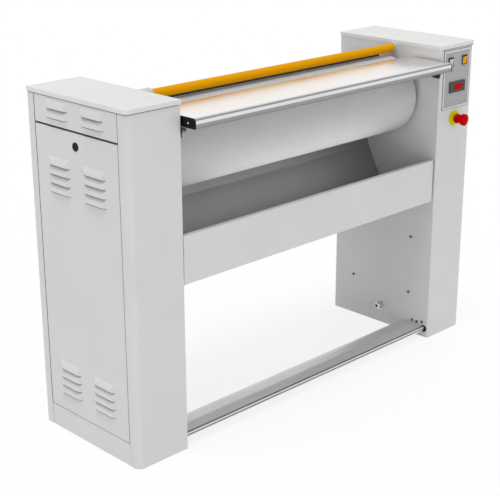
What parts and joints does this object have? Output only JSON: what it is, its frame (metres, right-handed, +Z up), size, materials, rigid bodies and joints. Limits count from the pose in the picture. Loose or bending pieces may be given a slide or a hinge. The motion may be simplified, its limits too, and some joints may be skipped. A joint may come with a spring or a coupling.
{
  "type": "rotary ironer",
  "caption": "Floor-standing rotary ironer: a padded roller between two sheet-metal cabinets, with feed table, guard bar, heated trough, linen tray and pedal.",
  "frame": {"origin": "on the floor, in the middle of the floor anchor holes", "axes": "X along the roller with the controls at +X, the front faces -Y, Z is up"},
  "size_m": [1.534, 0.5, 1.05],
  "materials": {
    "cabinet_paint": "fine smooth powder coat",
    "frame_paint": "grey primer",
    "table_steel": "brushed along the roller",
    "table_profile": "anodised, satin",
    "cap_plastic": "fine grain",
    "bracket_steel": "zinc plated",
    "panel_aluminium": "satin with a light border",
    "controller_plastic": "fine grain",
    "window_red": "dark red, clear",
    "rocker_grey": "gloss",
    "rocker_amber": "gloss, lit",
    "stop_yellow": "satin",
    "stop_red": "gloss",
    "guard_orange": "even coat",
    "boss_grey": "fine grain",
    "lip_rubber": "matt",
    "roller_cloth": "close weave",
    "roller_felt": "needled felt",
    "machined_steel": "turned",
    "rod_chrome": "polished",
    "cast_parts": "turned and painted",
    "gear_aluminium": "die cast",
    "motor_paint": "hammered",
    "trough_aluminium": "polished inner face",
    "wool": "mineral wool",
    "bush_bronze": "turned"
  },
  "bodies": {
    "frame": {"left_cabinet_shell": "cabinet_paint", "right_cabinet_shell": "cabinet_paint", "left_frame_plate": "frame_paint", "right_frame_plate": "frame_paint", "left_lid": "cabinet_paint", "right_lid": "cabinet_paint", "base_pans": "frame_paint", "left_plinth": "cabinet_paint", "right_side_cover": "cabinet_paint", "vent_panel": "cabinet_paint", "door_rail": "cabinet_paint", "rail_seal": "cap_plastic", "control_plate": "panel_aluminium", "temperature_controller": "controller_plastic", "controller_window": "window_red", "switch_bezels": "controller_plastic", "estop_collar": "stop_yellow", "feed_table": "table_steel", "table_edge_profile": "table_profile", "table_end_caps": "cap_plastic", "table_brackets": "bracket_steel", "collecting_tray": "table_steel", "tray_front_panel": "cabinet_paint", "rear_cover": "bracket_steel", "rear_tie_beam": "frame_paint", "bar_bosses": "boss_grey", "pedal_bushes": "cap_plastic", "cable_gland": "boss_grey", "roller_bearings": "cast_parts", "trough_bushes": "bush_bronze", "drive_motor": "motor_paint", "gearbox": "gear_aluminium", "motor_shelf": "frame_paint", "drive_belt": "lip_rubber", "electrical_plate": "bracket_steel", "contactors": "controller_plastic"},
    "roller": {"roller_drum": "machined_steel", "roller_hubs": "machined_steel", "roller_padding": "roller_felt", "roller_cover": "roller_cloth", "roller_pulley": "cast_parts"},
    "drive": {"drive_pulley": "cast_parts"},
    "trough": {"trough_casting": "trough_aluminium", "heating_rods": "machined_steel", "trough_insulation": "wool", "trough_casing": "bracket_steel", "trough_arms": "frame_paint", "trough_shaft": "machined_steel"},
    "pedal": {"pedal_plate": "table_steel", "pedal_rod": "rod_chrome"},
    "link": {"pull_rod": "machined_steel"},
    "guard": {"guard_bar": "guard_orange", "guard_lip": "lip_rubber"},
    "power_switch": {"power_rocker": "rocker_amber"},
    "heat_switch": {"heat_rocker": "rocker_grey"},
    "stop_stem": {"estop_stem": "machined_steel"},
    "stop_head": {"estop_head": "stop_red"},
    "door": {"service_door": "cabinet_paint", "door_lock": "cap_plastic"},
    "lock": {"lock_cam": "bracket_steel"}
  },
  "joints": [
    {"name": "roller_turn", "type": "hinge", "parent": "frame", "child": "roller", "pos_m": [0, -0.01, 0.867], "axis": [1, 0, 0], "continuous": true},
    {"name": "drive_pulley_turn", "type": "hinge", "parent": "frame", "child": "drive", "pos_m": [-0.624, -0.086, 0.6], "axis": [1, 0, 0], "continuous": true},
    {"name": "trough_open", "type": "hinge", "parent": "frame", "child": "trough", "pos_m": [0, 0.15, 0.69], "axis": [-1, 0, 0], "range_deg": [0, 4], "stiffness_Nm_per_rad": 60, "springref_deg": -17.19},
    {"name": "pedal_press", "type": "hinge", "parent": "frame", "child": "pedal", "pos_m": [0, -0.204, 0.032], "axis": [-1, 0, 0], "range_deg": [0, 8]},
    {"name": "pull_rod_swing", "type": "hinge", "parent": "pedal", "child": "link", "pos_m": [-0.595, -0.179, 0.032], "axis": [-1, 0, 0], "range_deg": [-8.2, 0]},
    {"name": "guard_turn", "type": "hinge", "parent": "frame", "child": "guard", "pos_m": [0, -0.02, 1.0235], "axis": [1, 0, 0], "range_deg": [-10, 10], "stiffness_Nm_per_rad": 2},
    {"name": "power_rock", "type": "hinge", "parent": "frame", "child": "power_switch", "pos_m": [0.704, -0.2205, 0.9905], "axis": [-1, 0, 0], "range_deg": [0, 16]},
    {"name": "heat_rock", "type": "hinge", "parent": "frame", "child": "heat_switch", "pos_m": [0.629, -0.2205, 0.9905], "axis": [-1, 0, 0], "range_deg": [0, 16]},
    {"name": "stop_press", "type": "slide", "parent": "frame", "child": "stop_stem", "axis": [0, 1, 0], "range_m": [0, 0.005]},
    {"name": "stop_twist", "type": "hinge", "parent": "stop_stem", "child": "stop_head", "pos_m": [0.662, -0.24, 0.795], "axis": [0, 1, 0], "range_deg": [0, 30], "stiffness_Nm_per_rad": 0.05},
    {"name": "door_tilt", "type": "hinge", "parent": "frame", "child": "door", "pos_m": [-0.762, 0.003, 0.073], "axis": [0, -1, 0], "range_deg": [0, 20]},
    {"name": "lock_turn", "type": "hinge", "parent": "door", "child": "lock", "pos_m": [-0.75, 0.003, 0.912], "axis": [1, 0, 0], "range_deg": [0, 90]}
  ],
  "couplings": [
    {"joint": "drive_pulley_turn", "follows": "roller_turn", "ratio": 2.3405},
    {"joint": "pedal_press", "follows": "trough_open", "ratio": 2},
    {"joint": "pull_rod_swing", "follows": "trough_open", "ratio": -2.0087}
  ]
}
